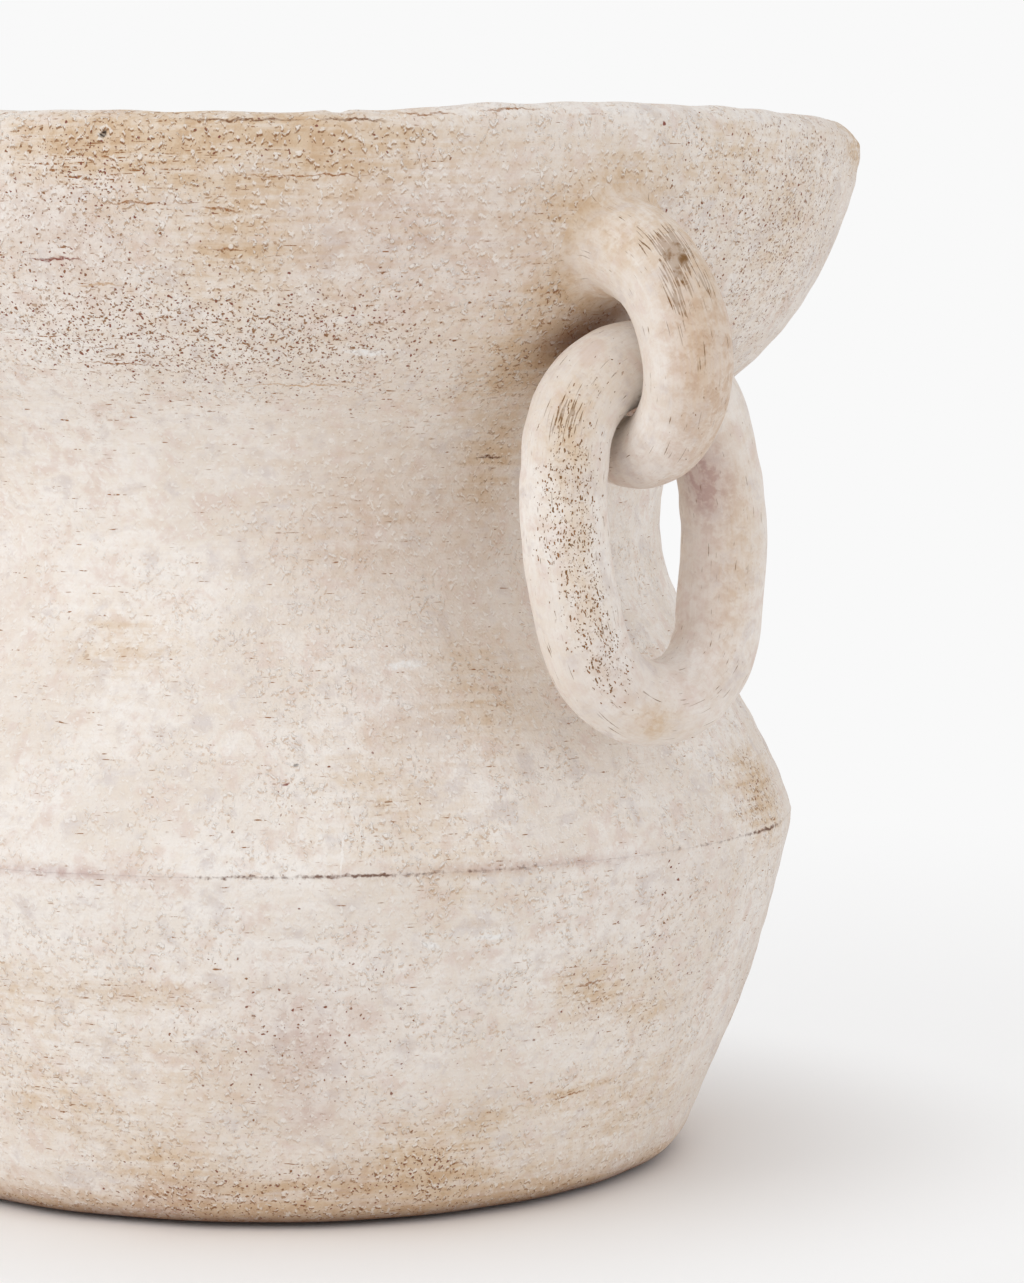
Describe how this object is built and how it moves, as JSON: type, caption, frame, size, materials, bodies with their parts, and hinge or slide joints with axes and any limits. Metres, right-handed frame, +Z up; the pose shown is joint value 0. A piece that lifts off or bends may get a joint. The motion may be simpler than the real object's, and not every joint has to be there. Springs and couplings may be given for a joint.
{
  "type": "ring-handled jar",
  "caption": "Squat terracotta jar with a sharp shoulder, drawn-in waist and wide flared mouth, and a loose oval ring hanging from a coil lug on each side.",
  "frame": {"origin": "centre of the flat base, on the surface that the jar stands on", "axes": "+Z up along the jar's axis, +X through the right lug, -X through the left lug"},
  "size_m": [0.397, 0.3358, 0.3],
  "materials": {
    "limewashed_terracotta": "matte limewash over rough terracotta"
  },
  "bodies": {
    "jar": {"lower_bowl": "limewashed_terracotta", "upper_body": "limewashed_terracotta", "lug_right": "limewashed_terracotta", "lug_left": "limewashed_terracotta"},
    "right_ring": {"ring_right": "limewashed_terracotta"},
    "left_ring": {"ring_left": "limewashed_terracotta"}
  },
  "joints": [
    {"name": "right_ring_swing", "type": "hinge", "parent": "jar", "child": "right_ring", "pos_m": [0.16177, 0.00405, 0.23262], "axis": [0, -0.9914, -0.1305], "range_deg": [-14, 158]},
    {"name": "left_ring_swing", "type": "hinge", "parent": "jar", "child": "left_ring", "pos_m": [-0.16177, -0.00405, 0.23262], "axis": [0, 0.9914, -0.1305], "range_deg": [-14, 158]}
  ]
}
